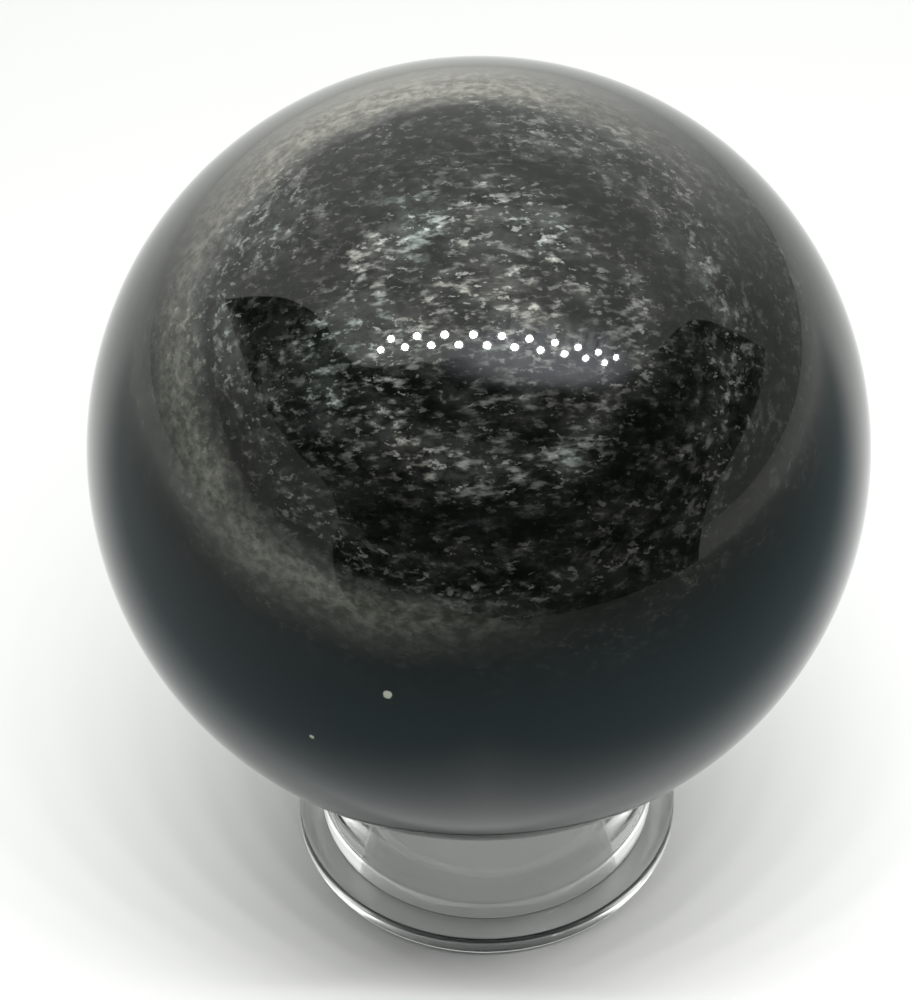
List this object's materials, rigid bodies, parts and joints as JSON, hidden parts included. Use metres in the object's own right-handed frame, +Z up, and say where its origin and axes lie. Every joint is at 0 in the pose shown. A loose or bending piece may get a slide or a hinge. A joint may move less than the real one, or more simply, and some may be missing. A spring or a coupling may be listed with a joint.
{
  "type": "crystal ball",
  "caption": "Polished opaque stone sphere resting loose in the conical seat of a low clear ring stand with a flanged foot and an open bore.",
  "frame": {"origin": "centre of the ring stand's foot, on the surface that it stands on", "axes": "+Z up, along the common axis of the ring stand and the ball; both pieces are round about it, so +X and +Y are free, and -Y is taken as the front"},
  "size_m": [0.07, 0.07, 0.084],
  "materials": {
    "obsidian": "high polish",
    "clear_stand": "clear, polished"
  },
  "bodies": {
    "stand": {"ring_stand": "clear_stand"},
    "ball": {"obsidian_ball": "obsidian"}
  },
  "joints": [
    {"name": "ball_lift", "type": "slide", "parent": "stand", "child": "ball", "axis": [0, 0, 1], "range_m": [0, 0.06]}
  ]
}
